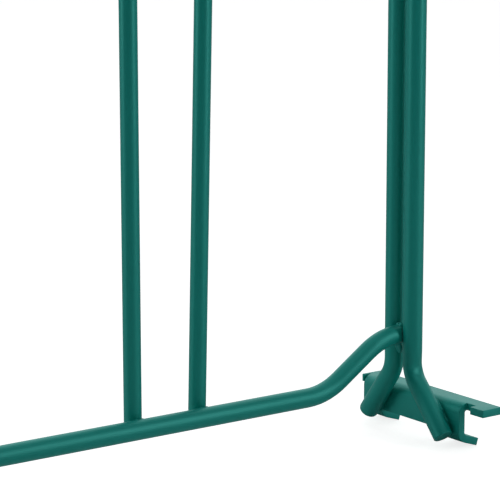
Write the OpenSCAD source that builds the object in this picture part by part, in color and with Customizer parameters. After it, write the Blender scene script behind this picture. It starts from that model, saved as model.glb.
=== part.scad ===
// Square round bale feeder for sheep: four tube panels stand round the bale.
// Every panel is the same. Its shoe end has twin posts on a folded ground shoe, and its
// start end has one post on a ground tongue. The tongue lies in the next panel's shoe, and
// a drop rod through both panels' eye plates pins the corner. The gate panel stands open.
//
// Panel frame: X runs along the panel to its shoe end, Y points out of the feeder, Z is up.
// The inner post's axis is X = 0, Y = 0, and the rails meet the posts between the two.

/* [Feeder] */
// Number of rod pairs in each panel
rod_pairs = 4; // [2:1:5]
// Height of the top of the top rail above the ground
panel_h = 1060; // [1050:5:1200]

/* [Rails and rods] */
// Diameter of the top and bottom rails
rail_d = 20; // [18:0.5:20]
// Height of the bottom rail's axis above the ground
rail_z = 60.4; // [55:0.2:90]
// Rise of a rail's end to where it meets the posts
rail_rise = 51.4; // [45:0.2:60]
// Angle of the double bend in a rail's end
rail_bend = 34; // [25:1:45]
// Centre line radius of the double bend
rail_bend_r = 75; // [50:1:75]
// Diameter of the upright rods
rod_d = 18; // [14:0.5:18]
// Spacing of the two rods of a pair at the bottom rail
pair_w = 77.1; // [60:0.1:100]
// Spacing from a pair to the next pair or to a post, where an animal's head goes through
head_gap = 254.7; // [220:0.1:350]
// Lean of the pair's second rod towards the shoe end
rod_lean = 1.42; // [0:0.02:2]

/* [Posts] */
// Diameter of the posts
post_d = 21; // [20:0.5:22]
// Spacing of the twin posts at the shoe end
post_gap = 29.6; // [26:0.2:32]
// Height of the top of the posts
post_h = 1030; // [1020:1:1040]
// Angle between the inner post and its splayed foot
foot_splay = 41; // [30:1:42]
// Angle between the outer post and its splayed foot
outer_splay = 37; // [30:1:42]
// Height where the axes of the post and its foot cross
foot_bend_z = 72; // [66:1:85]
// Height of the centre of the foot's cut end
foot_end_z = 12.5; // [10:0.5:14]

/* [Ground shoe] */
// Thickness of the folded plate
plate_t = 8; // [6:0.5:8]
// Height of the flange's top face
flange_z = 48.5; // [46:0.5:50]
// Width of the flange
flange_w = 27; // [24:1:30]
// Length of the web along Y
web_len = 158; // [150:1:180]
// Reach of the flange past the web, on the inside of the feeder
nose_len = 34.2; // [15:0.1:40]
// Reach of the flange past the web, on the outside
tail_len = 5.7; // [5:0.1:25]
// Length of each of the two claws
claw_len = 31; // [30:1:70]
// Slope of the claws below level
claw_slope = 18; // [8:1:25]
// Straight length of a claw past its bend
claw_reach = 18; // [8:0.5:20]

/* [Ground tongue] */
// Diameter of the tongue
tongue_d = 25; // [22:0.5:25]
// Height of the tongue's axis
tongue_z = 24.5; // [24:0.1:25]
// Length of the tongue
tongue_len = 205; // [200:5:240]

/* [Eyes and rods] */
// Height of the lower eye plates
low_eye_z = 500; // [450:10:600]
// Height of the upper eye plates
high_eye_z = 940; // [930:5:945]
// Thickness of the eye plates
eye_t = 8; // [6:0.5:8]
// Diameter of the drop rods and the gate bolt
pin_d = 12; // [10:0.5:12]
// Diameter of the holes in the eye plates
eye_hole_d = 13.5; // [13:0.1:14]
// How far the gate bolt drops
bolt_drop = 40; // [35:1:45]

/* [Hidden] */
$fn = 48;
PANELS = ["gate", "hinge_side", "back", "latch_side"];
PANEL_PARTS = [
    "bottom_rail", "top_rail", "rods", "inner_post", "outer_post", "shoe",
    "start_post", "ground_tongue", "shoe_end_eyes", "start_end_eyes", "end_caps"
];
PIN_NODES = ["gate_hinge_rod", "front_corner_rod", "rear_corner_rod", "gate_bolt", "bolt_bush"];

paint = [0.0, 0.43, 0.37];
zinc = [0.72, 0.74, 0.75];
black = [0.10, 0.10, 0.11];

post_r = post_d / 2;
foot_bend_r = 40;
top_rail_z = panel_h - rail_d / 2;
rail_end_z = rail_z + rail_rise;
top_end_z = top_rail_z - rail_rise;

// Double bend of a rail's end
bend_rise = 2 * rail_bend_r * (1 - cos(rail_bend));
bend_straight = (rail_rise - bend_rise) / sin(rail_bend);
bend_run = 2 * rail_bend_r * sin(rail_bend) + bend_straight * cos(rail_bend);
shoe_flat = 6;
rail_cut_x = -1;
rod_lap = 6;

// Corner: where the next panel's pieces stand in this panel's frame, along X
web_x = post_r;
tongue_play = 3.4;
tongue_x = web_x + plate_t + tongue_play + tongue_d / 2;
pivot_x = tongue_x + tongue_d / 2 + post_r;
pivot_y = post_gap / 2;
rail_y = pivot_y;
rod_y = rail_y + rail_d / 2 + rod_d / 2;
start_y = rail_y + rail_d / 2 + post_r;
plane_x = pivot_x - start_y;

// Start end: where the same pieces stand in the panel's own frame
pitch = head_gap + pair_w;
start_x = -(rod_pairs * pitch + head_gap);
start_post_w = 20;
corner_x = start_x - start_post_w;
side = plane_x - corner_x;
start_pivot = [corner_x - pivot_y, start_y];
tongue_y = tongue_x - plane_x;
rail_start_w = 8;
start_flat = 32;
riser_w = 172;
cap_t = 3;

// Eyes
eye_r = 12.5;
eye_lift = 0.5;
guide_lift = 45;
guide_z = high_eye_z + guide_lift;
bush_d = 17;
bush_play = 0.1;

// Drop rods and gate bolt
rod_overhang = 30;
rod_neck = 34;
bolt_gap = 6;
bolt_neck = 12;
collar_d = 24;
collar_t = 6;
ring_r = 18;
ring_wire_d = 8;

// Feeder: the square stands on the left and the open gate reaches to the right
half = side / 2;
back_reach = half + pivot_y + web_len / 2 + tail_len;
open_gate_x = half + pivot_x - plane_x - start_pivot[0];
open_gate_y = half + pivot_y - start_pivot[1];
gate_reach = open_gate_x + pivot_x + eye_r;
centre_x = (gate_reach - back_reach) / 2;

// A tube bent in the XY plane: each move is [length, 0] or [radius, turn to the left].
// A bend laps a little into the straights, and is a hair thinner, so that they fuse cleanly.
module tube_path(moves, d, i = 0) {
    lap = 0.8;
    slack = 0.2;
    if (i < len(moves)) {
        reach = moves[i][0];
        turn = moves[i][1];
        side_of = sign(turn);
        if (turn == 0) {
            rotate([0, 90, 0]) cylinder(d = d, h = reach);
            translate([reach, 0, 0]) tube_path(moves, d, i + 1);
        } else {
            lap_turn = lap / reach * 180 / PI;
            translate([0, side_of * reach, 0]) {
                rotate([0, 0, (side_of > 0 ? -90 : 90 + turn) - lap_turn])
                    rotate_extrude(angle = abs(turn) + 2 * lap_turn)
                        translate([reach, 0]) circle(d = d - slack);
                rotate([0, 0, turn]) translate([0, -side_of * reach, 0])
                    tube_path(moves, d, i + 1);
            }
        }
    }
}

// A rail with a double bend at both ends: way is 1 for ends that rise, -1 for ends that dip.
// Its shoe end is cut to nest between the twin posts.
module rail(end_z, way) {
    first_x = corner_x + rail_start_w;
    straight = rail_cut_x - first_x - 2 * bend_run - start_flat - shoe_flat;
    bend = way * rail_bend;
    difference() {
        translate([first_x, rail_y, end_z]) rotate([90, 0, 0]) tube_path([
            [start_flat, 0],
            [rail_bend_r, -bend], [bend_straight, 0], [rail_bend_r, bend],
            [straight, 0],
            [rail_bend_r, bend], [bend_straight, 0], [rail_bend_r, -bend],
            [shoe_flat, 0]
        ], rail_d);
        for (y = [0, post_gap]) translate([0, y, 0]) cylinder(d = post_d, h = panel_h);
    }
}

module bottom_rail() {
    color(paint) rail(rail_end_z, 1);
}

module top_rail() {
    color(paint) rail(top_end_z, -1);
}

// A rod that stands on the outer side of both rails and laps them a little way
module upright_rod(x, lean) {
    rise = top_rail_z - rail_z;
    translate([x, rod_y, rail_z]) rotate([0, lean, 0]) translate([0, 0, -rod_lap])
        cylinder(d = rod_d, h = rise / cos(lean) + 2 * rod_lap);
}

module rods() {
    color(paint) for (i = [0 : rod_pairs - 1]) {
        second_x = -head_gap - i * pitch;
        upright_rod(second_x, rod_lean);
        upright_rod(second_x - pair_w, 0);
    }
}

// A post that comes down plumb and splays out to one side on its foot
module splayed_post(y, turn) {
    tangent = foot_bend_r * tan(abs(turn) / 2);
    foot_len = (foot_bend_z - foot_end_z) / cos(turn) - tangent;
    translate([0, y, post_h]) rotate([0, 90, 0]) tube_path([
        [post_h - foot_bend_z - tangent, 0], [foot_bend_r, turn], [foot_len, 0]
    ], post_d);
}

module inner_post() {
    color(paint) splayed_post(0, -foot_splay);
}

module outer_post() {
    color(paint) splayed_post(post_gap, outer_splay);
}

// Section of a bend in a plate, between two angles. It laps a little into the flat plate on
// both sides, and is a hair thinner, so that they fuse cleanly.
module bend_slice(inner_r, outer_r, from, to) {
    lap = 3;
    slack = 0.02;
    steps = 4;
    first = from - lap;
    turn = to - from + 2 * lap;
    reach = 2 * outer_r;
    intersection() {
        difference() {
            circle(r = outer_r - slack);
            circle(r = inner_r + slack);
        }
        polygon([
            [0, 0],
            for (k = [0 : steps]) reach * [cos(first + k * turn / steps), sin(first + k * turn / steps)]
        ]);
    }
}

// Lengthwise extrusion along Y of an outline drawn in X and Z
module along_y(from, to) {
    translate([0, to, 0]) rotate([90, 0, 0]) linear_extrude(to - from) children();
}

module shoe() {
    inner_bend = 2.5;
    claw_bend = 4;
    fold_x = web_x + plate_t + inner_bend;
    fold_z = flange_z - plate_t - inner_bend;
    claw_x = web_x + plate_t + claw_bend;
    claw_outer = claw_bend + plate_t;
    tip_turn = 90 - claw_slope;
    claw_z = claw_outer * sin(tip_turn) + claw_reach * sin(claw_slope);
    web_from = pivot_y - web_len / 2;
    web_to = pivot_y + web_len / 2;
    nose_notch = 14;
    tail_notch = 2.5;
    tab_setback = 2;
    web_low = 16;
    color(paint) union() {
        // Web, and the fold up to the flange
        along_y(web_from, web_to) {
            translate([web_x, claw_z]) square([plate_t, fold_z - claw_z]);
            translate([fold_x, fold_z]) bend_slice(inner_bend, inner_bend + plate_t, 90, 180);
        }
        // Lower edge of the web between the claws
        along_y(web_from + claw_len, web_to - claw_len)
            translate([web_x, web_low]) square([plate_t, claw_z - web_low]);
        // Flange, and the tabs that reach past the web behind a relief notch
        along_y(web_from - nose_len, web_to + tail_len)
            translate([fold_x, fold_z + inner_bend])
                square([web_x + flange_w - fold_x, plate_t]);
        for (tab = [[web_from - nose_len, web_from - nose_notch], [web_to + tail_notch, web_to + tail_len]])
            along_y(tab[0], tab[1])
                translate([web_x + tab_setback, fold_z + inner_bend])
                    square([fold_x - web_x - tab_setback, plate_t]);
        // Claws that hook under the tongue
        for (from = [web_from, web_to - claw_len])
            along_y(from, from + claw_len) translate([claw_x, claw_z]) {
                bend_slice(claw_bend, claw_outer, 180, 180 + tip_turn);
                rotate(tip_turn) translate([-claw_outer, -claw_reach]) square([plate_t, claw_reach]);
            }
    }
}

module start_post() {
    low_end = 14;
    color(paint) translate([start_x, start_y, low_end]) cylinder(d = post_d, h = post_h - low_end);
}

// Tube along the ground, and the short riser that ties it to the bottom rail
module ground_tongue() {
    tongue_from = corner_x - pivot_y + cap_t;
    color(paint) {
        translate([tongue_from, tongue_y, tongue_z]) rotate([0, 90, 0])
            cylinder(d = tongue_d, h = tongue_len - 2 * cap_t);
        difference() {
            translate([corner_x + riser_w, (tongue_y + rail_y) / 2, tongue_z])
                cylinder(d = rod_d, h = rail_z - tongue_z);
            translate([corner_x, rail_y, rail_z]) rotate([0, 90, 0]) cylinder(d = rail_d, h = -corner_x);
            translate([corner_x, tongue_y, tongue_z]) rotate([0, 90, 0])
                cylinder(d = tongue_d, h = 2 * tongue_len);
        }
    }
}

module eye_hole(at, d) {
    translate([at[0], at[1], -1]) cylinder(d = d, h = eye_t + 2);
}

// Plate between the twin posts that carries a corner eye
module shoe_end_plate(hole_d) {
    difference() {
        linear_extrude(eye_t) difference() {
            union() {
                polygon([
                    [0, -post_r], [0, post_gap + post_r],
                    [pivot_x, pivot_y + eye_r], [pivot_x, pivot_y - eye_r]
                ]);
                translate([pivot_x, pivot_y]) circle(r = eye_r);
            }
            circle(d = post_d);
            translate([0, post_gap]) circle(d = post_d);
        }
        eye_hole([pivot_x, pivot_y], hole_d);
    }
}

module shoe_end_eyes() {
    color(paint) for (z = [low_eye_z, high_eye_z])
        translate([0, 0, z]) shoe_end_plate(eye_hole_d);
}

// The gate has a third plate, which guides the bolt
module gate_shoe_end_eyes() {
    shoe_end_eyes();
    color(paint) translate([0, 0, guide_z]) shoe_end_plate(bush_d);
}

module start_end_eyes() {
    reach = start_x - start_pivot[0];
    color(paint) for (z = [low_eye_z, high_eye_z])
        translate([0, 0, z + eye_t + eye_lift]) difference() {
            linear_extrude(eye_t) difference() {
                union() {
                    translate(start_pivot) circle(r = eye_r);
                    translate([start_pivot[0], start_pivot[1] - post_r]) square([reach, post_d]);
                }
                translate([start_x, start_y]) circle(d = post_d);
            }
            eye_hole(start_pivot, eye_hole_d);
        }
}

module tube_cap(d) {
    rim = 1;
    cylinder(d = d, h = cap_t - rim);
    translate([0, 0, cap_t - rim]) cylinder(d = d - 2 * rim, h = rim);
}

module end_caps() {
    tongue_from = corner_x - pivot_y;
    color(black) {
        for (at = [[0, 0], [0, post_gap], [start_x, start_y]])
            translate([at[0], at[1], post_h]) tube_cap(post_d);
        translate([tongue_from + cap_t, tongue_y, tongue_z]) rotate([0, -90, 0]) tube_cap(tongue_d);
        translate([tongue_from + tongue_len - cap_t, tongue_y, tongue_z])
            rotate([0, 90, 0]) tube_cap(tongue_d);
    }
}

// A straight pin with a collar that stops it and a ring to lift it by
module ring_pin(low, collar_z, top) {
    translate([0, 0, low]) cylinder(d = pin_d, h = top - low);
    translate([0, 0, collar_z]) cylinder(d = collar_d, h = collar_t);
    translate([0, 0, top + ring_r]) rotate([0, 90, 0])
        rotate_extrude() translate([ring_r, 0]) circle(d = ring_wire_d);
}

// Drop rod in a panel's corner, drawn in the frame of the panel whose shoe is there
module corner_rod() {
    rest_z = high_eye_z + 2 * eye_t + 2 * eye_lift;
    color(zinc) translate([pivot_x, pivot_y, 0])
        ring_pin(low_eye_z - rod_overhang, rest_z, rest_z + rod_neck);
}

// The bolt is up at rest, clear of the latch side's eye
module gate_bolt() {
    low = high_eye_z + 2 * eye_t + bolt_gap;
    collar_z = guide_z + eye_t + eye_lift + bolt_drop;
    color(zinc) translate([pivot_x, pivot_y, 0]) ring_pin(low, collar_z, collar_z + bolt_neck);
}

module bolt_bush() {
    color(black) translate([pivot_x, pivot_y, guide_z]) difference() {
        cylinder(d = bush_d, h = eye_t);
        eye_hole([0, 0], pin_d + 2 * bush_play);
    }
}

// Place of a panel: three stand round the square and the gate stands open
module in_panel(p) {
    translate([-centre_x, 0, 0]) {
        if (p == 0) translate([open_gate_x, open_gate_y, 0]) children();
        else rotate([0, 0, 90 * (p - 1)]) translate([half - plane_x, half, 0]) children();
    }
}

module panel_part(p, part) {
    in_panel(p) {
        if (part == 0) bottom_rail();
        if (part == 1) top_rail();
        if (part == 2) rods();
        if (part == 3) inner_post();
        if (part == 4) outer_post();
        if (part == 5) shoe();
        if (part == 6) start_post();
        if (part == 7) ground_tongue();
        if (part == 8 && p == 0) gate_shoe_end_eyes();
        if (part == 8 && p > 0) shoe_end_eyes();
        if (part == 9) start_end_eyes();
        if (part == 10) end_caps();
    }
}

for (p = [0 : len(PANELS) - 1], part = [0 : len(PANEL_PARTS) - 1])
    panel_part(p, part);
in_panel(1) corner_rod();  // gate_hinge_rod
in_panel(2) corner_rod();  // rear_corner_rod
in_panel(3) corner_rod();  // front_corner_rod
in_panel(0) gate_bolt();
in_panel(0) bolt_bush();
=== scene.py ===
"""Finished look of a square bale feeder for sheep: green tube panels on folded ground shoes."""

import math

import bpy
from bpy.props import (
    FloatProperty,
    FloatVectorProperty,
    IntProperty,
    PointerProperty,
)
from mathutils import Matrix, Vector


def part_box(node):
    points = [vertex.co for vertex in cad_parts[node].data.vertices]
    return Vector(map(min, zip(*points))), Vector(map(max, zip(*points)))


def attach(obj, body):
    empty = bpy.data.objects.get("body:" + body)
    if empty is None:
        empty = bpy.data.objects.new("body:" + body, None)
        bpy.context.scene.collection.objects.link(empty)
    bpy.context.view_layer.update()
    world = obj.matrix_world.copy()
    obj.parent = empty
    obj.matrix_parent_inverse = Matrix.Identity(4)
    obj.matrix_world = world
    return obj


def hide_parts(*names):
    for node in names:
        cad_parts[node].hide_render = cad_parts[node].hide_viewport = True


bl_info = {
    "name": "Bale Feeder",
    "version": (1, 0, 0),
    "blender": (4, 5, 0),
    "location": "View3D > Sidebar > Feeder",
    "description": "Draws the pieces, welds and finishes of a square bale feeder",
    "category": "Object",
}

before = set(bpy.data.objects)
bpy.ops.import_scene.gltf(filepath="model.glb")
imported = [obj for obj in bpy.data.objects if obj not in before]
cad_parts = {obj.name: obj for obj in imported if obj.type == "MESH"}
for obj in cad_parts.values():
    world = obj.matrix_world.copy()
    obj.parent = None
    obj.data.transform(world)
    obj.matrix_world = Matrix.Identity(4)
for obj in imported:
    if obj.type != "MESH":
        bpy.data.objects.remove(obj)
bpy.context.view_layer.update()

# How far each panel is turned about the vertical, from the gate's own direction
PANELS = {"gate": 0, "hinge_side": 0, "back": 90, "latch_side": 180}
MM = 0.001
GREEN = "green_powder_coat"
ZINC = "zinc_plate"
CAP = "cap_plastic"
NYLON = "bush_nylon"
# Reach of the ground tongue's riser past the rails' start, and the eye plates' thickness
RISER_REACH = 0.164
EYE_THICKNESS = 0.008
# Clear length between a pin's collar and its ring
ROD_NECK = 0.034
BOLT_NECK = 0.012
# Depth that a tube's open end is drawn to
BORE = 0.020
LONG_BORE = 0.030
# Length of the short steps that shape a post on both sides of its bend
STEP = 0.008
STEPS_ABOVE = 5
STEPS_BELOW = 3
# Height of the outer foot's rounded end, and rounding of the inner one's flat end
DOME = 0.0045
FLAT_ROUND = 0.0008
# Gap between a rail's hollowed end and the posts, its rounding, its reach, and the width of its
# rim that is painted pale as thinned coat and painted highlight
NEST_GAP = 0.0008
NEST_ROUND = 0.0005
NEST_REACH = 0.014
RIM = 0.00125
# Dent in a foot's bend: its reach and width, its share on the outer foot, and its bulge
DENT_REACH = 0.034
DENT_WIDTH = 0.0085
OUTER_DENT = 0.4
BULGE = 0.2
# Roundings of the pins' ends and collars
PIN_ROUND = 0.0015
COLLAR_ROUND = 0.001
# A cap's plug, the rounding of its rim, and the upright share of its height
CAP_PLUG = 0.006
CAP_ROUND = 0.0003
CAP_WALL = 0.4
# Edges sharper than this are rounded, and shaded smooth below the second angle
SHARP = math.radians(50)
SMOOTH = math.radians(35)
# Camera: place from the gate's inner post, turns in degrees, and lens
CAMERA_PLACE = Vector((-1.4739, -1.7283, 0.6338))
CAMERA_PITCH = 10.74
CAMERA_ROLL = 0.08
CAMERA_HEADING = 36.13
CAMERA_LENS = 157.95
UP = Vector((0, 0, 1))
RIGHT = Vector((1, 0, 0))
OUT = Vector((0, 1, 0))


def mm(value):
    return value * MM


def length(name, description, default):
    """A length property given in millimetres."""
    return FloatProperty(
        name=name, description=description, default=mm(default), unit="LENGTH", min=0.0
    )


def angle(name, description, default):
    """An angle property given in degrees."""
    return FloatProperty(
        name=name,
        description=description,
        default=math.radians(default),
        unit="ROTATION",
        min=0.0,
    )


def colour(name, description, default):
    """A colour property."""
    return FloatVectorProperty(
        name=name,
        description=description,
        subtype="COLOR",
        default=default,
        min=0,
        max=1,
    )


# ---------------------------------------------------------------- sizes and colours


class FeederTubeSizes(bpy.types.PropertyGroup):
    rail_radius: length("Rail Radius", "Half the diameter of the rails", 10)
    rod_radius: length("Rod Radius", "Half the diameter of the upright rods", 9)
    post_radius: length("Post Radius", "Half the diameter of the posts", 10.5)
    tongue_radius: length(
        "Tongue Radius", "Half the diameter of the ground tongue", 12.5
    )
    wall: length("Tube Wall", "Thickness of the tube walls, seen at cut ends", 2)
    cut_round: length("Cut Rounding", "Rounding of a tube's cut end", 0.6)
    bend_radius: length("Rail Bend Radius", "Centre line radius of the rail ends", 75)
    bend_angle: angle("Rail Bend", "Angle of the double bend in a rail's end", 34)
    start_flat: length("Start Flat", "Straight part at a rail's start end", 32)
    shoe_flat: length("Shoe Flat", "Straight part at a rail's shoe end", 6)
    pair_width: length("Pair Width", "Spacing of the two rods of a pair", 77.1)
    head_gap: length(
        "Head Gap", "Spacing between pairs, for an animal's head", 254.7
    )
    rod_lean: angle("Rod Lean", "Lean of the second rod of a pair", 1.42)
    rod_lap: length("Rod Lap", "Reach of a rod past the axes of the rails", 6)
    rod_pairs: IntProperty(
        name="Rod Pairs", description="Rod pairs in a panel", default=4, min=1
    )
    post_gap: length("Post Spacing", "Spacing of the twin posts at the shoe end", 29.6)
    inner_splay: angle("Inner Splay", "Angle between the inner post and its foot", 41)
    outer_splay: angle("Outer Splay", "Angle between the outer post and its foot", 37)
    foot_bend: length("Foot Bend Radius", "Centre line radius of the foot bend", 40)
    foot_cross: length(
        "Foot Bend Height", "Height where post and foot axes cross", 72
    )
    foot_end: length("Foot End Height", "Height of the centre of a foot's cut", 12.5)
    dent: length("Bend Dent", "Depth of the crease inside the inner foot's bend", 3.2)
    sides: IntProperty(
        name="Tube Sides", description="Faces round a tube", default=40, min=12
    )


class FeederPlateSizes(bpy.types.PropertyGroup):
    thickness: length("Plate Thickness", "Thickness of the folded shoe's plate", 8)
    fold_radius: length("Fold Radius", "Outer radius of the shoe's upper fold", 10.5)
    claw_radius: length("Claw Radius", "Outer radius of the claws' bend", 12)
    claw_slope: angle("Claw Slope", "Slope of the claws' lips below level", 18)
    claw_lip: length("Claw Lip", "Straight part of a claw past its bend", 18)
    claw_length: length("Claw Length", "Length of a claw along the shoe", 31)
    web_edge: length("Web Edge", "Height of the web's edge between the claws", 16)
    tab_setback: length("Tab Setback", "How far the end tabs stand behind the web", 2)
    nose: length("Nose", "Reach of the flange past the web, inside the feeder", 34.2)
    tail: length("Tail", "Reach of the flange past the web, outside", 5.7)
    nose_notch: length("Nose Notch", "Width of the notch beside the nose's tab", 14)
    tail_notch: length("Tail Notch", "Width of the notch beside the tail's tab", 2.5)
    corner_round: length("Corner Rounding", "Rounding of the plate's corners", 3)
    edge_round: length("Edge Rounding", "Rounding of the plates' edges", 1.3)
    weld: length("Weld Bead", "Half the width of a weld bead", 1.9)
    pin_radius: length("Pin Radius", "Half the diameter of the drop rods", 6)
    collar_radius: length("Collar Radius", "Half the diameter of a rod's collar", 12)
    collar: length("Collar Height", "Height of a rod's collar", 6)
    ring_radius: length("Ring Radius", "Centre line radius of a lifting ring", 18)
    ring_wire: length("Ring Wire", "Half the thickness of a lifting ring", 4)


class FeederFinishes(bpy.types.PropertyGroup):
    green: colour("Powder Coat", "Main colour of the powder coat", (0.0, 0.160, 0.129))
    green_deep: colour(
        "Deep Powder Coat", "Colour where the coat has built up", (0.0, 0.134, 0.104)
    )
    # Pale coat where it draws back from sharp edges; the same pale colour paints the highlight on
    # the rails' hollowed rims and a reflection on the weld run below them
    green_thin_and_painted_light: colour(
        "Thin Powder Coat",
        "Colour where the coat draws back from a sharp edge",
        (0.16, 0.40, 0.33),
    )
    peel: FloatProperty(
        name="Orange Peel Scale",
        description="Dimples of the coat in a metre",
        default=620,
    )
    zinc: colour("Zinc", "Colour of the zinc plate", (0.62, 0.64, 0.66))
    cap: colour("Cap Plastic", "Colour of the tube caps", (0.012, 0.012, 0.013))
    nylon: colour("Nylon", "Colour of the bolt's bush", (0.02, 0.02, 0.022))


def tubes():
    return bpy.context.scene.feeder_tubes


def plates():
    return bpy.context.scene.feeder_plates


def finishes():
    return bpy.context.scene.feeder_finishes


# ---------------------------------------------------------------- where things stand


def inner_post_place(panel):
    """Matrix from a panel's own frame, with the inner post's axis as origin, to the row frame."""
    turn = Matrix.Rotation(math.radians(PANELS[panel]), 4, "Z")
    low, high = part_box(f"{panel}_inner_post")
    radius = tubes().post_radius
    reach = turn @ Vector((radius, radius, 0))
    corner = [high[i] if reach[i] > 0 else low[i] for i in range(2)]
    at = Vector((corner[0] - reach[0], corner[1] - reach[1], 0))
    return Matrix.Translation(at) @ turn


def in_panel(panel, node):
    """Lowest and highest corner of a CAD node, in its panel's own frame."""
    back = inner_post_place(panel).inverted()
    corners = [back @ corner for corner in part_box(node)]
    return (
        Vector(map(min, *corners)),
        Vector(map(max, *corners)),
    )


def rail_y():
    """The rails lie in the middle between the twin posts."""
    return tubes().post_gap / 2


def rod_y():
    """The rods stand against the rails' outer side."""
    return rail_y() + tubes().rail_radius + tubes().rod_radius


def rail_axis(part):
    """Start, end and level of a gate rail's axis, and the height of its ends."""
    low, high = in_panel("gate", f"gate_{part}")
    radius = tubes().rail_radius
    if part == "bottom_rail":
        return low.x, high.x, low.z + radius, high.z - radius
    return low.x, high.x, high.z - radius, low.z + radius


def start_post_axis():
    low, high = in_panel("gate", "gate_start_post")
    return (low + high) / 2, low.z, high.z


def tongue_axis():
    """Start and end of the gate's ground tongue without its caps, its Y and its height."""
    low, high = in_panel("gate", "gate_ground_tongue")
    radius = tubes().tongue_radius
    return low.x, high.x, low.y + radius, low.z + radius


# ---------------------------------------------------------------- drawing tools


def rest():
    """Object mode with nothing selected."""
    if bpy.context.object and bpy.context.object.mode != "OBJECT":
        bpy.ops.object.mode_set(mode="OBJECT")
    bpy.ops.object.select_all(action="DESELECT")


def pick(piece):
    rest()
    piece.select_set(True)
    bpy.context.view_layer.objects.active = piece


class Drawing:
    """A round piece drawn out ring by ring from one end to the other."""

    def __init__(self, at, heading, radius, sides=None):
        rest()
        self.at = Vector(at)
        self.heading = Vector(heading).normalized()
        self.radius = radius
        bpy.ops.mesh.primitive_circle_add(
            vertices=sides or tubes().sides,
            radius=radius,
            location=self.at,
            rotation=self.heading.to_track_quat("Z", "Y").to_euler(),
        )
        bpy.ops.object.transform_apply(location=True, rotation=True, scale=True)
        bpy.ops.object.mode_set(mode="EDIT")

    def run(self, reach, radius=None):
        """Goes straight on, and widens or narrows to a new radius."""
        step = self.heading * reach
        push(*step)
        self.at += step
        if radius is not None and radius != self.radius:
            bpy.ops.transform.resize(
                value=(radius / self.radius,) * 3, center_override=self.at
            )
            self.radius = radius
        return self

    def bend(self, radius, turn, towards, steps=7):
        """Turns towards a side, about a centre at that side."""
        side = Vector(towards)
        side = (side - side.project(self.heading)).normalized()
        centre = self.at + side * radius
        bpy.ops.mesh.spin(
            steps=steps, angle=turn, center=centre, axis=-self.heading.cross(side)
        )
        old = self.heading.copy()
        self.heading = old * math.cos(turn) + side * math.sin(turn)
        self.at = centre + radius * (old * math.sin(turn) - side * math.cos(turn))
        return self

    def open_start(self, wall, depth):
        """Called first: the hollow end that this piece starts with, seen from behind."""
        outer, rounding = self.radius, tubes().cut_round
        inner = outer - wall
        bpy.ops.transform.resize(
            value=(inner / outer,) * 3, center_override=self.at
        )
        self.radius = inner
        step = self.heading * depth
        bpy.ops.transform.translate(value=step)
        self.at += step
        self.run(-depth)
        self.run(0, outer - rounding)
        return self.run(rounding, outer)

    def closed_start(self, rounding):
        """Called first: a flat closed end with a rounded rim."""
        outer = self.radius
        bpy.ops.transform.resize(
            value=((outer - rounding) / outer,) * 3, center_override=self.at
        )
        self.radius = outer - rounding
        return self.run(rounding, outer)

    def open_end(self, wall, depth):
        outer, rounding = self.radius, tubes().cut_round
        self.run(rounding, outer - rounding)
        self.run(0, outer - wall)
        return self.run(-depth)

    def closed_end(self, rounding):
        return self.run(rounding, self.radius - rounding)

    def domed_end(self, height, steps=5):
        """A rounded end as high as asked."""
        radius, done = self.radius, 0
        for k in range(1, steps + 1):
            turn = math.radians(86) * k / steps
            rise = height * math.sin(turn)
            self.run(rise - done, radius * math.cos(turn))
            done = rise
        return self

    def done(self, name):
        """Closes the holes and gives the finished piece."""
        bpy.ops.mesh.select_all(action="SELECT")
        bpy.ops.mesh.fill_holes(sides=0)
        return tidy_mesh(name)


def tidy_mesh(name, smooth=32):
    """Merges doubles, turns the faces outwards and smooths the shading of the active piece."""
    bpy.ops.mesh.select_all(action="SELECT")
    bpy.ops.mesh.remove_doubles(threshold=mm(0.01))
    bpy.ops.mesh.normals_make_consistent(inside=False)
    bpy.ops.object.mode_set(mode="OBJECT")
    piece = bpy.context.object
    piece.name = name
    bpy.ops.object.shade_smooth_by_angle(angle=math.radians(smooth))
    return piece


def joined(name, pieces):
    """Several drawn pieces as one."""
    pick(pieces[0])
    for piece in pieces:
        piece.select_set(True)
    if len(pieces) > 1:
        bpy.ops.object.join()
    piece = bpy.context.object
    piece.name = name
    return piece


def apply_modifier(piece, kind, **settings):
    pick(piece)
    modifier = piece.modifiers.new(kind.title(), kind)
    for key, value in settings.items():
        setattr(modifier, key, value)
    bpy.ops.object.modifier_apply(modifier=modifier.name)


def round_edges(piece, width, segments):
    """Rounds a piece's sharp edges, and smooths its shading."""
    apply_modifier(
        piece,
        "BEVEL",
        width=width,
        segments=segments,
        limit_method="ANGLE",
        angle_limit=SHARP,
    )
    bpy.ops.object.shade_smooth_by_angle(angle=SMOOTH)


def push(*step):
    """Extrudes what is selected by a step."""
    bpy.ops.mesh.extrude_region_move(TRANSFORM_OT_translate={"value": step})


def select_edges(test):
    """Selects the edges of the active piece whose two ends pass the test, in edit mode."""
    bpy.ops.mesh.select_mode(type="EDGE")
    bpy.ops.mesh.select_all(action="DESELECT")
    bpy.ops.object.mode_set(mode="OBJECT")
    mesh = bpy.context.object.data
    for edge in mesh.edges:
        edge.select = all(test(mesh.vertices[v].co) for v in edge.vertices)
    bpy.ops.object.mode_set(mode="EDIT")


def select_corners():
    """Selects the outline's corners, where only two edges meet, in edit mode."""
    bpy.ops.object.mode_set(mode="OBJECT")
    mesh = bpy.context.object.data
    edges = [0] * len(mesh.vertices)
    for edge in mesh.edges:
        for v in edge.vertices:
            edges[v] += 1
    for vertex in mesh.vertices:
        vertex.select = edges[vertex.index] == 2
    for part in (*mesh.edges, *mesh.polygons):
        part.select = False
    bpy.ops.object.mode_set(mode="EDIT")


def finished(piece, body, slot, *nodes):
    """A piece in its place: it rides on a body, stands for CAD nodes and takes its finish."""
    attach(piece, body)
    if nodes:
        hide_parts(*nodes)
    piece.data.materials.clear()
    piece.data.materials.append(finish_of(slot))
    return piece


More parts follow.
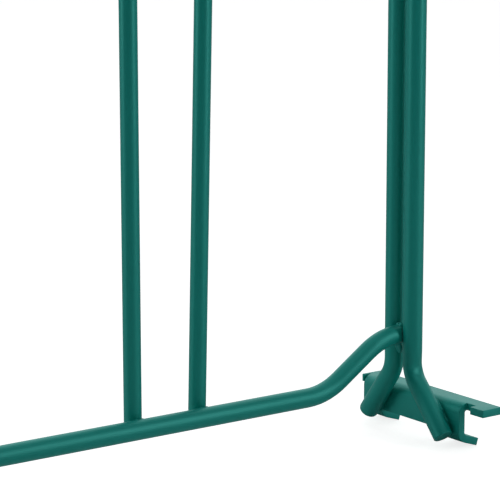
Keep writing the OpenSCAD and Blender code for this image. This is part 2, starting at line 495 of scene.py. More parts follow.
def for_every_panel(piece, name, slot, *parts):
    """Copies a piece drawn in the panel frame to every panel, each copy with its own mesh."""
    for panel in PANELS:
        copy = piece.copy()
        copy.data = piece.data.copy()
        copy.name = f"{panel}_{name}"
        bpy.context.scene.collection.objects.link(copy)
        copy.data.transform(inner_post_place(panel))
        finished(copy, panel, slot, *[f"{panel}_{part}" for part in parts])
    bpy.data.objects.remove(piece)


# ---------------------------------------------------------------- finishes


class Wire:
    """A shader socket on which Python's operators add Math nodes."""

    def __init__(self, board, socket):
        self.board = board
        self.socket = socket

    def _math(self, operation, first, second):
        return self.board.add(
            "ShaderNodeMath", {"operation": operation}, {0: first, 1: second}
        )

    def __add__(self, other):
        return self._math("ADD", self, other)

    __radd__ = __add__

    def __mul__(self, other):
        return self._math("MULTIPLY", self, other)

    __rmul__ = __mul__


class Board:
    """The node tree of one finish."""

    def __init__(self, name):
        self.material = bpy.data.materials.new(name)
        self.material.use_nodes = True
        self.tree = self.material.node_tree
        self.tree.nodes.clear()
        self.place = self.add("ShaderNodeTexCoord", output="Object")

    def add(self, kind, settings=None, values=None, output=0):
        """Adds a node: its settings first, then the values or links of its sockets."""
        node = self.tree.nodes.new(kind)
        for key, value in (settings or {}).items():
            setattr(node, key, value)
        for key, value in (values or {}).items():
            if isinstance(value, Wire):
                self.tree.links.new(value.socket, node.inputs[key])
            else:
                node.inputs[key].default_value = value
        return Wire(self, node.outputs[output])

    def noise(self, scale, detail=2.0, roughness=0.5, place=None):
        return self.add(
            "ShaderNodeTexNoise",
            values={
                "Vector": place or self.place,
                "Scale": scale,
                "Detail": detail,
                "Roughness": roughness,
            },
        )

    def spread(self, value, low, high, to_low=0.0, to_high=1.0):
        """A value's range from low to high spread over another range, and held at its ends."""
        return self.add(
            "ShaderNodeMapRange",
            {"clamp": True},
            {
                "Value": value,
                "From Min": low,
                "From Max": high,
                "To Min": to_low,
                "To Max": to_high,
            },
        )

    def blend(self, share, first, second):
        """Mixes two colours."""
        return self.add(
            "ShaderNodeMix",
            {"data_type": "RGBA"},
            {0: share, 6: first, 7: second},
            output=2,
        )

    def relief(self, height, distance, strength=1.0, under=None):
        values = {"Height": height, "Distance": distance, "Strength": strength}
        if under:
            values["Normal"] = under
        return self.add("ShaderNodeBump", values=values)

    def surface(self, **values):
        """The shader, and the material's output."""
        shader = self.add(
            "ShaderNodeBsdfPrincipled",
            values={key.replace("_", " "): value for key, value in values.items()},
        )
        out = self.tree.nodes.new("ShaderNodeOutputMaterial")
        self.tree.links.new(shader.socket, out.inputs["Surface"])
        return self.material


def rgba(colour):
    return (*colour, 1.0)


def make_powder_coat(name):
    """Semi-gloss powder coat: fine orange peel over slow waves, with a thinner, paler edge; the
    same pale colour paints a highlight on rims and a reflection on welds.
    """
    look = finishes()
    board = Board(name)
    cloud = board.noise(9, 3.0)
    patch = board.noise(55, 3.0, 0.6)
    peel = board.noise(look.peel, 2.0, 0.55)
    wave = board.noise(120, 2.0)
    specks = board.noise(1500, 1.0)
    build_up = board.spread(cloud * 0.6 + patch * 0.4, 0.38, 0.62)
    colour = board.blend(build_up, rgba(look.green), rgba(look.green_deep))
    # Pale where the coat thins at sharp edges, and a painted highlight on the rails' hollowed rims
    # and a painted reflection on the weld run below them
    edge = board.add(
        "ShaderNodeAttribute", {"attribute_name": "thin_coat_and_painted_light"}, output="Fac"
    )
    thin_and_painted_light = board.spread(edge * (0.6 + 0.8 * patch), 0.25, 0.9)
    colour = board.blend(thin_and_painted_light, colour, rgba(look.green_thin_and_painted_light))
    rough = board.spread(patch + 0.35 * specks, 0.4, 1.0, 0.30, 0.42)
    normal = board.relief(wave, mm(0.9), 0.35)
    normal = board.relief(peel, mm(0.30), 0.55, under=normal)
    return board.surface(
        Base_Color=colour,
        Roughness=rough + 0.08 * thin_and_painted_light,
        IOR=1.5,
        Specular_IOR_Level=0.06,
        Coat_Weight=0.03,
        Coat_Roughness=0.2,
        Normal=normal,
    )


def make_zinc(name):
    """Bright zinc plate with a faint clouded passivation and draw marks along the wire."""
    look = finishes()
    board = Board(name)
    cloud = board.noise(38, 3.0)
    grain = board.noise(900, 2.0)
    marks = board.noise(
        260,
        2.0,
        place=board.add(
            "ShaderNodeMapping", values={"Vector": board.place, "Scale": (1, 1, 0.04)}
        ),
    )
    mask = board.spread(cloud, 0.42, 0.62)
    colour = board.blend(mask, rgba(look.zinc), (0.50, 0.50, 0.47, 1.0))
    return board.surface(
        Base_Color=colour,
        Metallic=1.0,
        Roughness=board.spread(marks + 0.4 * grain, 0.4, 1.0, 0.22, 0.45),
        Normal=board.relief(marks + 0.3 * grain, mm(0.12), 0.5),
    )


def make_cap_plastic(name):
    """Moulded polyethylene with a fine matt grain and a few scuffs."""
    look = finishes()
    board = Board(name)
    grain = board.noise(2400, 2.0)
    scuff = board.spread(board.noise(160, 5.0, 0.7), 0.56, 0.7)
    return board.surface(
        Base_Color=board.blend(scuff, rgba(look.cap), (0.05, 0.05, 0.052, 1.0)),
        Roughness=0.48 + 0.16 * grain + 0.1 * scuff,
        Normal=board.relief(grain, mm(0.12), 0.4),
    )


def make_nylon(name):
    """Moulded nylon, a little waxy, with turned rings on its bore."""
    look = finishes()
    board = Board(name)
    grain = board.noise(1500, 2.0)
    rub = board.spread(board.noise(220, 4.0, 0.6), 0.5, 0.7)
    return board.surface(
        Base_Color=board.blend(rub, rgba(look.nylon), (0.06, 0.06, 0.062, 1.0)),
        Roughness=0.36 + 0.15 * grain,
        Normal=board.relief(grain, mm(0.08), 0.4),
    )


MAKERS = {
    GREEN: make_powder_coat,
    ZINC: make_zinc,
    CAP: make_cap_plastic,
    NYLON: make_nylon,
}


def finish_of(slot):
    return bpy.data.materials.get(slot) or MAKERS[slot](slot)


def mark_thin_coat_and_painted_light(piece, test):
    """Stores, at every point, how pale the powder coat is painted: where it draws back from a
    sharp edge, and where a painted highlight and a painted reflection stand.
    """
    mesh = piece.data
    layer = mesh.attributes.new("thin_coat_and_painted_light", "FLOAT", "POINT")
    layer.data.foreach_set("value", [test(v.co) for v in mesh.vertices])


# ---------------------------------------------------------------- pieces


class FEEDER_OT_rails(bpy.types.Operator):
    """Top and bottom rails with a double bend at both ends"""

    bl_idname = "feeder.rails"
    bl_label = "Rails"

    def execute(self, context):
        size = tubes()
        for part, name, way in (
            ("bottom_rail", "low_rail", 1),
            ("top_rail", "high_rail", -1),
        ):
            first, last, level, end_level = rail_axis(part)
            rise = abs(end_level - level)
            turn, radius = size.bend_angle, size.bend_radius
            slant = (rise - 2 * radius * (1 - math.cos(turn))) / math.sin(turn)
            run = 2 * radius * math.sin(turn) + slant * math.cos(turn)
            middle = last - first - 2 * run - size.start_flat - size.shoe_flat
            rounding = size.cut_round
            rail = Drawing((first, rail_y(), end_level), RIGHT, size.rail_radius)
            rail.open_start(size.wall, LONG_BORE)
            rail.run(size.start_flat - rounding)
            rail.bend(radius, turn, -way * UP).run(slant).bend(radius, turn, way * UP)
            rail.run(middle)
            rail.bend(radius, turn, way * UP).run(slant).bend(radius, turn, -way * UP)
            rail.run(size.shoe_flat)
            piece = rail.done(name)
            nest_between_posts(piece)
            # The open start end's rim is painted pale as thinned coat; the hollowed end's rim by
            # the posts as thinned coat and a painted highlight
            mark_thin_coat_and_painted_light(
                piece,
                lambda co: float(
                    co.x - first < rounding * 0.5
                    or (co.x > last - NEST_REACH and past_post(co) < RIM)
                ),
            )
            for_every_panel(piece, name, GREEN, part)
        return {"FINISHED"}


def past_post(co):
    """How far a point lies outside the nearer of the twin posts."""
    size = tubes()
    reach = min(math.hypot(co.x, co.y - y) for y in (0, size.post_gap))
    return reach - size.post_radius


def nest_between_posts(rail):
    """Cuts the rail's end hollow so that it lies against both posts with a hair's gap."""
    size = tubes()
    high = rail_axis("top_rail")[2] + mm(40)
    for y in (0, size.post_gap):
        rest()
        bpy.ops.mesh.primitive_cylinder_add(
            vertices=96, radius=size.post_radius + NEST_GAP, depth=2 * high
        )
        cutter = bpy.context.object
        cutter.data.transform(Matrix.Translation((0, y, 0)))
        apply_modifier(rail, "BOOLEAN", operation="DIFFERENCE", object=cutter)
        bpy.data.objects.remove(cutter)
    round_edges(rail, NEST_ROUND, 2)


class FEEDER_OT_rods(bpy.types.Operator):
    """Upright rods in pairs between the rails"""

    bl_idname = "feeder.rods"
    bl_label = "Upright Rods"

    def execute(self, context):
        size = tubes()
        rods = []
        for foot, lean in rod_feet():
            low = rail_axis("bottom_rail")[2]
            high = rail_axis("top_rail")[2]
            heading = Vector((math.sin(lean), 0, math.cos(lean)))
            lap, rounding = size.rod_lap, FLAT_ROUND
            rod = Drawing(
                Vector((foot, rod_y(), low)) - heading * lap, heading, size.rod_radius
            )
            rod.closed_start(rounding)
            rod.run((high - low) / math.cos(lean) + 2 * lap - 2 * rounding)
            rods.append(rod.closed_end(rounding).done("rod"))
        for_every_panel(joined("uprights", rods), "uprights", GREEN, "rods")
        return {"FINISHED"}


def rod_feet():
    """Place along X and lean of every rod of a panel."""
    size = tubes()
    feet = []
    for pair in range(size.rod_pairs):
        second = -size.head_gap - pair * (size.head_gap + size.pair_width)
        feet += [(second, size.rod_lean), (second - size.pair_width, 0.0)]
    return feet


class FEEDER_OT_posts(bpy.types.Operator):
    """Twin splayed posts of the shoe end and the single start post"""

    bl_idname = "feeder.posts"
    bl_label = "Posts"

    def execute(self, context):
        size = tubes()
        top = in_panel("gate", "gate_inner_post")[1].z
        radius = size.foot_bend
        for name, part, y, way, splay in (
            ("inner_tube", "inner_post", 0, -1, size.inner_splay),
            ("outer_tube", "outer_post", size.post_gap, 1, size.outer_splay),
        ):
            tangent = radius * math.tan(splay / 2)
            foot = (size.foot_cross - size.foot_end) / math.cos(splay) - tangent
            post = Drawing((0, y, top), -UP, size.post_radius)
            post.open_start(size.wall, BORE)
            post.run(
                top - size.foot_cross - tangent - STEPS_ABOVE * STEP - size.cut_round
            )
            for _ in range(STEPS_ABOVE):
                post.run(STEP)
            post.bend(radius, splay, way * OUT, steps=12)
            for _ in range(STEPS_BELOW):
                post.run(STEP)
            left = foot - STEPS_BELOW * STEP
            if way < 0:
                post.run(left - FLAT_ROUND).closed_end(FLAT_ROUND)
            else:
                post.run(left - DOME).domed_end(DOME)
            piece = post.done(name)
            crease(piece, y, way, splay)
            for_every_panel(piece, name, GREEN, part)

        axis, low, high = start_post_axis()
        post = Drawing((axis.x, axis.y, high), -UP, size.post_radius)
        post.open_start(size.wall, BORE)
        post.run(high - low - 2 * size.cut_round).open_end(size.wall, LONG_BORE)
        for_every_panel(post.done("start_tube"), "start_tube", GREEN, "start_post")
        return {"FINISHED"}


def crease(piece, y, way, splay):
    """The wall gives way on the inside of a cold bend: a dent there, and a bulge beside it."""
    size = tubes()
    inside = Vector((0, way * math.cos(splay / 2), math.sin(splay / 2)))
    sag = size.foot_bend * (1 / math.cos(splay / 2) - 1)
    middle = Vector((0, y, size.foot_cross)) + inside * sag
    along = inside.cross(RIGHT)
    depth = size.dent if way < 0 else size.dent * OUTER_DENT
    for vertex in piece.data.vertices:
        reach = vertex.co - middle
        lift = reach.dot(inside)
        distance = reach.dot(along)
        if abs(distance) > DENT_REACH or lift < 0:
            continue
        side = reach.x / size.post_radius
        ridge = math.exp(-((distance / DENT_WIDTH) ** 2))
        share = max(0.0, lift / size.post_radius) ** 1.6
        vertex.co -= inside * depth * ridge * share
        vertex.co.x += side * depth * BULGE * ridge * (1 - share)


class FEEDER_OT_shoes(bpy.types.Operator):
    """Folded ground shoes: flange, web and two claws out of one plate"""

    bl_idname = "feeder.shoes"
    bl_label = "Ground Shoes"

    def execute(self, context):
        size = plates()
        low, high = in_panel("gate", "gate_shoe")
        web = low.x
        top = high.z
        fold = web + size.fold_radius
        fold_z = top - size.fold_radius
        first, last = low.y + size.nose, high.y - size.tail
        claws = ((first, first + size.claw_length), (last - size.claw_length, last))
        lip_turn = math.pi / 2 - size.claw_slope
        claw_z = size.claw_radius * math.sin(lip_turn) + size.claw_lip * math.sin(
            size.claw_slope
        )
        tabs = ((low.y, first - size.nose_notch), (last + size.tail_notch, high.y))
        near = mm(0.05)

        rest()
        middle = ((fold + high.x) / 2, (low.y + high.y) / 2, top)
        bpy.ops.mesh.primitive_plane_add(size=1, location=middle)
        bpy.ops.transform.resize(
            value=(high.x - fold, high.y - low.y, 1), center_override=middle
        )
        bpy.ops.object.transform_apply(location=True, rotation=True, scale=True)
        bpy.ops.object.mode_set(mode="EDIT")
        cuts = sorted({y for span in (*claws, *tabs) for y in span} - {low.y, high.y})
        for y in cuts:
            bpy.ops.mesh.select_all(action="SELECT")
            bpy.ops.mesh.bisect(plane_co=(0, y, 0), plane_no=(0, 1, 0))

        def at(x, z, spans):
            return lambda co: (
                abs(co.x - x) < near
                and abs(co.z - z) < near
                and any(span[0] - near < co.y < span[1] + near for span in spans)
            )

        # Tabs past the fold
        for span in tabs:
            select_edges(at(fold, top, [span]))
            push(web + size.tab_setback - fold, 0, 0)
        # The fold down into the web
        select_edges(at(fold, top, [(first, last)]))
        bpy.ops.mesh.spin(
            steps=8, angle=math.pi / 2, center=(fold, 0, fold_z), axis=(0, 1, 0)
        )
        push(0, 0, claw_z - fold_z)
        # The web's edge between the claws
        select_edges(at(web, claw_z, [(claws[0][1], claws[1][0])]))
        push(0, 0, size.web_edge - claw_z)
        # The claws
        for span in claws:
            select_edges(at(web, claw_z, [span]))
            bpy.ops.mesh.spin(
                steps=8,
                angle=lip_turn,
                center=(web + size.claw_radius, 0, claw_z),
                axis=(0, 1, 0),
            )
            slope, reach = size.claw_slope, size.claw_lip
            push(reach * math.cos(slope), 0, -reach * math.sin(slope))
        bpy.ops.mesh.select_mode(type="VERT")
        select_corners()
        bpy.ops.mesh.bevel(
            offset=size.corner_round, affect="VERTICES", segments=4, clamp_overlap=True
        )
        shoe = tidy_mesh("folded_shoe")
        apply_modifier(shoe, "SOLIDIFY", thickness=size.thickness, offset=-1.0)
        round_edges(shoe, size.edge_round, 3)
        for_every_panel(shoe, "folded_shoe", GREEN, "shoe")
        return {"FINISHED"}


class FEEDER_OT_tongues(bpy.types.Operator):
    """Ground tongues and the short risers that tie them to the bottom rails"""

    bl_idname = "feeder.tongues"
    bl_label = "Ground Tongues"

    def execute(self, context):
        size = tubes()
        first, last, y, z = tongue_axis()
        tongue = Drawing((first, y, z), RIGHT, size.tongue_radius)
        tongue.open_start(size.wall, mm(10))
        tongue.run(last - first - 2 * size.cut_round).open_end(size.wall, mm(10))
        low = tongue.done("tongue")
        rail_z = rail_axis("bottom_rail")[2]
        riser = Drawing((riser_x(), (y + rail_y()) / 2, z), UP, size.rod_radius)
        high = riser.run(rail_z - z).done("riser")
        for_every_panel(
            joined("ground_tube", [low, high]), "ground_tube", GREEN, "ground_tongue"
        )
        return {"FINISHED"}


def riser_x():
    """The riser stands a little way in from the rails' start."""
    return rail_axis("bottom_rail")[0] + RISER_REACH


class FEEDER_OT_eyes(bpy.types.Operator):
    """Eye plates of both panel ends, with rounded edges"""

    bl_idname = "feeder.eyes"
    bl_label = "Eye Plates"

    def execute(self, context):
        for panel in PANELS:
            for part, name in (
                ("shoe_end_eyes", "shoe_eyes"),
                ("start_end_eyes", "start_eyes"),
            ):
                node = f"{panel}_{part}"
                rounded_copy(node, f"{panel}_{name}", plates().edge_round, panel, GREEN)
        return {"FINISHED"}


def rounded_copy(node, name, rounding, body, slot):
    """A copy of a CAD node as clean faces with rounded edges."""
    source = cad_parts[node]
    piece = source.copy()
    piece.data = source.data.copy()
    piece.name = name
    for key in list(piece.keys()):
        if key.startswith("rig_"):
            del piece[key]
    piece.parent = None
    piece.hide_render = piece.hide_viewport = False
    bpy.context.scene.collection.objects.link(piece)
    pick(piece)
    bpy.ops.object.mode_set(mode="EDIT")
    bpy.ops.mesh.select_all(action="SELECT")
    bpy.ops.mesh.customdata_custom_splitnormals_clear()
    bpy.ops.mesh.remove_doubles(threshold=mm(0.01))
    bpy.ops.mesh.dissolve_limited(angle_limit=math.radians(1))
    bpy.ops.object.mode_set(mode="OBJECT")
    round_edges(piece, rounding, 2)
    return finished(piece, body, slot, node)


class FEEDER_OT_caps(bpy.types.Operator):
    """Domed plastic caps on the posts and the tongues"""

    bl_idname = "feeder.caps"
    bl_label = "Tube Caps"

    def execute(self, context):
        size = tubes()
        high = in_panel("gate", "gate_end_caps")[1]
        top = in_panel("gate", "gate_inner_post")[1].z
        axis = start_post_axis()[0]
        first, last, y, z = tongue_axis()
        height = high.z - top
        caps = []
        for at, heading, radius in (
            ((0, 0, top), UP, size.post_radius),
            ((0, size.post_gap, top), UP, size.post_radius),
            ((axis.x, axis.y, top), UP, size.post_radius),
            ((first, y, z), -RIGHT, size.tongue_radius),
            ((last, y, z), RIGHT, size.tongue_radius),
        ):
            cap = Drawing(
                Vector(at) - Vector(heading) * CAP_PLUG, heading, radius - size.wall
            )
            cap.run(CAP_PLUG).run(0, radius - CAP_ROUND).run(CAP_ROUND, radius)
            wall = height * CAP_WALL
            cap.run(wall).domed_end(height - wall - CAP_ROUND)
            caps.append(cap.done("cap"))
        for_every_panel(joined("caps", caps), "caps", CAP, "end_caps")
        return {"FINISHED"}


class FEEDER_OT_pins(bpy.types.Operator):
    """Drop rods of the three corners and the gate's bolt, with collars and rings"""

    bl_idname = "feeder.pins"
    bl_label = "Drop Rods and Bolt"

    def execute(self, context):
        size = plates()
        for node, panel in (
            ("gate_hinge_rod", "hinge_side"),
            ("rear_corner_rod", "back"),
            ("front_corner_rod", "latch_side"),
            ("gate_bolt", "gate"),
        ):
            low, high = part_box(node)
            at = (low + high) / 2
            ring_z = high.z - size.ring_radius - size.ring_wire
            neck = BOLT_NECK if node == "gate_bolt" else ROD_NECK
            collar_z = ring_z - size.ring_radius - neck
            pin = Drawing((at.x, at.y, low.z), UP, size.pin_radius, 32)
            pin.closed_start(PIN_ROUND)
            pin.run(collar_z - low.z - PIN_ROUND)
            wide, narrow = size.collar_radius, size.collar_radius - COLLAR_ROUND
            pin.run(0, narrow).run(COLLAR_ROUND, wide)
            pin.run(size.collar - 2 * COLLAR_ROUND).run(COLLAR_ROUND, narrow)
            pin.run(0, size.pin_radius).run(
                ring_z - size.ring_radius - collar_z - size.collar
            )
            body = pin.closed_end(PIN_ROUND).done("pin")
            facing = Matrix.Rotation(math.radians(PANELS[panel]), 3, "Z")
            ring = Drawing(
                Vector((at.x, at.y, ring_z)) - UP * size.ring_radius,
                facing @ OUT,
                size.ring_wire,
                20,
            )
            ring.bend(size.ring_radius, 2 * math.pi, UP, steps=48)
            loop = tidy_mesh("ring", 60)
            piece = joined(f"{node}_pin", [body, loop])
            finished(piece, node, ZINC, node)
        return {"FINISHED"}


class FEEDER_OT_bush(bpy.types.Operator):
    """Nylon bush that holds the gate's bolt"""

    bl_idname = "feeder.bush"
    bl_label = "Bolt Bush"

    def execute(self, context):
        rounded_copy("bolt_bush", "bolt_sleeve", mm(0.5), "gate", NYLON)
        return {"FINISHED"}


class FEEDER_OT_welds(bpy.types.Operator):
    """Weld beads at every joint of a panel"""

    bl_idname = "feeder.welds"
    bl_label = "Welds"

    def execute(self, context):
        size, plate = tubes(), plates()
        lines = []
        low_z = rail_axis("bottom_rail")[2]
        high_z = rail_axis("top_rail")[2]
        for foot, lean in rod_feet():
            for level in (low_z, high_z):
                x = foot + (level - low_z) * math.tan(lean)
                lines += [rod_fillet(x, level, side) for side in (-1, 1)]
        _, _, tongue_y, tongue_z = tongue_axis()
        riser_off = (rail_y() - tongue_y) / 2
        for y, z, way, radius, offset in (
            (tongue_y, tongue_z, 1, size.tongue_radius, riser_off),
            (rail_y(), low_z, -1, size.rail_radius, -riser_off),
        ):
            lines.append(
                saddle_line(
                    riser_x(), y, z, way, size.rod_radius, radius, offset=offset
                )
            )
        lines += rail_end_lines() + foot_lines() + eye_lines() + start_post_lines()
        curve = bpy.data.curves.new("welds", "CURVE")
        curve.dimensions = "3D"
        curve.bevel_depth = plate.weld
        curve.bevel_resolution = 3
        curve.use_fill_caps = True
        for number, (points, closed, share) in enumerate(lines):
            spline = curve.splines.new("POLY")
            spline.points.add(len(points) - 1)
            spline.use_cyclic_u = closed
            count = len(points)
            for k, point in enumerate(points):
                spline.points[k].co = (*point, 1)
                taper = 1.0
                if not closed:
                    taper = min(1.0, 0.35 + 4 * min(k, count - 1 - k) / count)
                ripple = 0.11 * math.sin(k * 1.9 + number) + 0.07 * math.sin(
                    k * 0.53 + 2 * number
                )
                spline.points[k].radius = share * taper * (1 + ripple)
        beads = bpy.data.objects.new("weld_beads", curve)
        bpy.context.scene.collection.objects.link(beads)
        pick(beads)
        bpy.ops.object.convert(target="MESH")
        bpy.ops.object.mode_set(mode="EDIT")
        piece = tidy_mesh("weld_beads", 60)
        # Beads just below the bottom rail's end between the posts are painted pale: a painted
        # reflection of bright light through the gap
        run_top = rail_axis("bottom_rail")[3] - size.rail_radius - mm(2)
        mark_thin_coat_and_painted_light(
            piece,
            lambda co: 0.6 * float(co.x > mm(-14) and run_top - mm(14) < co.z < run_top),
        )
        for_every_panel(piece, "weld_beads", GREEN)
        return {"FINISHED"}


def saddle_line(x, y, z, way, rod, rail, offset=0.0, count=44):
    """Line round an upright rod where it meets a level tube."""
    points = []
    for k in range(count):
        turn = 2 * math.pi * k / count
        side = rod * math.sin(turn) + offset
        rise = math.sqrt(max(rail**2 - side**2, 0))
        points.append(
            Vector((x + rod * math.cos(turn), y + side, z + way * (rise + mm(0.2))))
        )
    return points, True, 0.85


def arc(centre, radius, from_deg, to_deg, across, along, count=18):
    """Points on an arc about a centre, in the plane of two directions."""
    points = []
    for k in range(count):
        turn = math.radians(from_deg + (to_deg - from_deg) * k / (count - 1))
        points.append(
            Vector(centre)
            + radius * (Vector(across) * math.cos(turn) + Vector(along) * math.sin(turn))
        )
    return points


def rod_fillet(x, level, side, count=15):
    """The seam in the corner beside a rod, from the rail's top round its outer side."""
    size = tubes()
    points = []
    for k in range(count):
        turn = math.radians(62 - 124 * k / (count - 1))
        away = mm(4.6) - mm(1.6) * abs(math.sin(turn))
        out = (size.rail_radius + mm(0.4)) * math.cos(turn)
        rise = (size.rail_radius - mm(0.2)) * math.sin(turn)
        points.append(Vector((x + side * away, rail_y() + out, level + rise)))
    return points, False, 1.15


def rail_end_lines():
    """Where a rail's end nests between the twin posts: lumps above it and a run below it."""
    size = tubes()
    lines = []
    for part in ("bottom_rail", "top_rail"):
        last, level = rail_axis(part)[1], rail_axis(part)[3]
        y, radius = rail_y(), size.rail_radius
        for way, reach, stop, share in (
            (1, mm(2.5), mm(2), 1.5),
            (-1, mm(12), mm(4), 1.4),
        ):
            for side in (-1, 1):
                points = []
                for k in range(9):
                    t = k / 8
                    end_x = last - stop - mm(5) * (1 - t) ** 1.5
                    end_y = y + side * mm(3.0) * (1 - 0.7 * t)
                    end_z = level + way * (radius - mm(1.2) + reach * t**2)
                    points.append(Vector((end_x, end_y, end_z)))
                lines.append((points, False, share))
    return lines


def foot_lines():
    """Fillets on both sides of each foot, along the shoe's web."""
    size = tubes()
    web = in_panel("gate", "gate_shoe")[0].x
    lines = []
    for y, way, splay in (
        (0, -1, size.inner_splay),
        (size.post_gap, 1, size.outer_splay),
    ):
        heading = Vector((0, way * math.sin(splay), -math.cos(splay)))
        across = Vector((0, way * math.cos(splay), math.sin(splay)))
        crossing = Vector((web - mm(1.2), y, size.foot_cross))
        for side in (-1, 1):
            points = []
            for k in range(20):
                height = mm(44 - 26 * k / 19)
                reach = (size.foot_cross - height) / math.cos(splay)
                points.append(
                    crossing
                    + heading * reach
                    + across * side * mm(5.2 + 0.3 * math.sin(k))
                )
            lines.append((points, False, 1.05))
    return lines


def plate_faces(low, high):
    """Heights of the lower and upper faces of the lowest and the highest eye plate."""
    return low.z, low.z + EYE_THICKNESS, high.z - EYE_THICKNESS, high.z


def eye_lines():
    """Beads round the posts on top of and below the eye plates."""
    size = tubes()
    lines = []
    low, high = in_panel("latch_side", "latch_side_shoe_end_eyes")
    for z in plate_faces(low, high):
        for y in (0, size.post_gap):
            points = arc((0, y, z), size.post_radius, -80, 80, RIGHT, OUT)
            lines.append((points, False, 0.8))
    low, high = in_panel("latch_side", "latch_side_start_end_eyes")
    axis = start_post_axis()[0]
    for z in plate_faces(low, high):
        points = arc((axis.x, axis.y, z), size.post_radius, 100, 260, RIGHT, OUT)
        lines.append((points, False, 0.8))
    return lines


def start_post_lines():
    """Small oval beads where the start post touches the rails and the tongue side by side."""
    axis = start_post_axis()[0]
    touch = axis.y - tubes().post_radius
    levels = [rail_axis("bottom_rail")[3], rail_axis("top_rail")[3], tongue_axis()[3]]
    return [
        (arc((axis.x, touch, z), mm(4.6), 0, 345, RIGHT, UP, 24), True, 1.0)
        for z in levels
    ]


# ---------------------------------------------------------------- stage


class FEEDER_OT_stage(bpy.types.Operator):
    """Pale floor, soft studio light and the camera"""

    bl_idname = "feeder.stage"
    bl_label = "Stage"

    def execute(self, context):
        scene = context.scene
        rest()
        bpy.ops.mesh.primitive_plane_add(size=120, location=(0, 0, 0))
        floor = context.object
        floor.name = "studio_floor"
        floor.data.materials.append(pale_floor())
        studio_world(scene)

        post = inner_post_place("gate").translation
        aim = post + Vector((mm(-160), 0, mm(330)))
        soft_light("key_strip", aim, (68, 18), 3.0, (0.4, 2.4), 20)
        soft_light("fill_strip", aim, (-78, 20), 3.0, (0.4, 2.4), 18)
        soft_light("top_box", aim, (10, 78), 3.0, (3.2, 3.2), 14)

        bpy.ops.object.camera_add()
        camera = context.object
        camera.name = "camera"
        camera.location = post + CAMERA_PLACE
        camera.rotation_euler = [
            math.radians(turn)
            for turn in (90 - CAMERA_PITCH, CAMERA_ROLL, -CAMERA_HEADING)
        ]
        camera.data.lens = CAMERA_LENS
        camera.data.clip_start = 0.05
        camera.data.clip_end = 200
        scene.camera = camera
        scene.view_settings.view_transform = "Standard"
        return {"FINISHED"}


def pale_floor():
    """White to the camera, and too dark to throw light back at the panels."""
    board = Board("pale_floor")
    seen = board.add("ShaderNodeLightPath", output="Is Camera Ray")
    return board.surface(
        Base_Color=(0.62, 0.62, 0.62, 1.0),
        Roughness=0.9,
        Emission_Color=board.blend(seen, (0.0, 0.0, 0.0, 1.0), (1.0, 1.0, 1.0, 1.0)),
        Emission_Strength=0.8,
    )


def studio_world(scene):
    """White to the camera. Its light is dim, brighter behind the panels and most so above them."""
    world = bpy.data.worlds.new("studio")
    scene.world = world
    world.use_nodes = True
    tree = world.node_tree
    tree.nodes.clear()

    def node(kind, values, output=0, **settings):
        made = tree.nodes.new(kind)
        for key, value in settings.items():
            setattr(made, key, value)
        for key, value in values.items():
            if isinstance(value, bpy.types.NodeSocket):
                tree.links.new(value, made.inputs[key])
            else:
                made.inputs[key].default_value = value
        return None if output is None else made.outputs[output]

    def maths(operation, first, second):
        return node("ShaderNodeMath", {0: first, 1: second}, operation=operation)

    def step(value, low, high, to_low=0.0, to_high=1.0):
        return node(
            "ShaderNodeMapRange",
            {
                "Value": value,
                "From Min": low,
                "From Max": high,
                "To Min": to_low,
                "To Max": to_high,
            },
            clamp=True,
            interpolation_type="SMOOTHSTEP",
        )

    place = node("ShaderNodeTexCoord", {}, "Generated")
    facing = node(
        "ShaderNodeVectorMath",
        {0: place, 1: (0.59, 0.807, 0.0)},
        "Value",
        operation="DOT_PRODUCT",
    )
    height = node("ShaderNodeSeparateXYZ", {0: place}, "Z")
    backdrop = maths("MULTIPLY", step(height, 0.04, 0.22), step(facing, 0.25, 0.85))
    light = maths("ADD", backdrop, step(facing, -0.55, 0.35, 0.01, 0.18))
    seen = node("ShaderNodeLightPath", {}, "Is Camera Ray")
    shone = node(
        "ShaderNodeBackground",
        {"Color": (1, 1, 1, 1), "Strength": maths("MAXIMUM", light, seen)},
    )
    node("ShaderNodeOutputWorld", {"Surface": shone}, None)


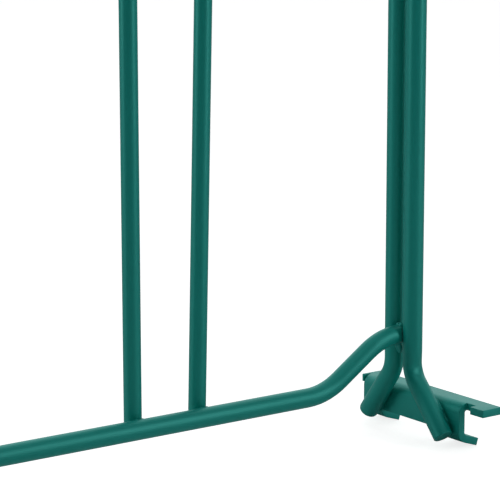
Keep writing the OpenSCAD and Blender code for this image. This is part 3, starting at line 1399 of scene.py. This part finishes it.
def soft_light(name, aim, direction, distance, size, power):
    """A softbox that faces the aim, from an azimuth and elevation seen from the camera's side."""
    bearing = math.radians(direction[0] - CAMERA_HEADING)
    height = math.radians(direction[1])
    away = Vector(
        (
            math.sin(bearing) * math.cos(height),
            -math.cos(bearing) * math.cos(height),
            math.sin(height),
        )
    )
    bpy.ops.object.light_add(type="AREA", location=aim + away * distance)
    lamp = bpy.context.object
    lamp.name = name
    lamp.rotation_euler = away.to_track_quat("Z", "Y").to_euler()
    lamp.data.shape = "RECTANGLE"
    lamp.data.size, lamp.data.size_y = size
    lamp.data.energy = power
    lamp.visible_camera = False


class FEEDER_PT_sidebar(bpy.types.Panel):
    """Lists the pieces of the feeder and their sizes"""

    bl_idname = "FEEDER_PT_sidebar"
    bl_label = "Bale Feeder"
    bl_space_type = "VIEW_3D"
    bl_region_type = "UI"
    bl_category = "Feeder"

    def draw(self, context):
        layout = self.layout
        for step in STEPS:
            layout.operator(step.bl_idname)
        for group in (tubes(), plates(), finishes()):
            box = layout.box()
            for key in group.__annotations__:
                box.prop(group, key)


STEPS = (
    FEEDER_OT_rails,
    FEEDER_OT_rods,
    FEEDER_OT_posts,
    FEEDER_OT_shoes,
    FEEDER_OT_tongues,
    FEEDER_OT_eyes,
    FEEDER_OT_caps,
    FEEDER_OT_pins,
    FEEDER_OT_bush,
    FEEDER_OT_welds,
    FEEDER_OT_stage,
)
GROUPS = {
    "feeder_tubes": FeederTubeSizes,
    "feeder_plates": FeederPlateSizes,
    "feeder_finishes": FeederFinishes,
}


def register():
    for group in (*GROUPS.values(), *STEPS, FEEDER_PT_sidebar):
        bpy.utils.register_class(group)
    for name, group in GROUPS.items():
        setattr(bpy.types.Scene, name, PointerProperty(type=group))


def unregister():
    for name in GROUPS:
        delattr(bpy.types.Scene, name)
    for group in (FEEDER_PT_sidebar, *reversed(STEPS), *GROUPS.values()):
        bpy.utils.unregister_class(group)


def main():
    register()
    for step in STEPS:
        area, name = step.bl_idname.split(".")
        getattr(getattr(bpy.ops, area), name)()
    rest()


if __name__ == "__main__":
    main()
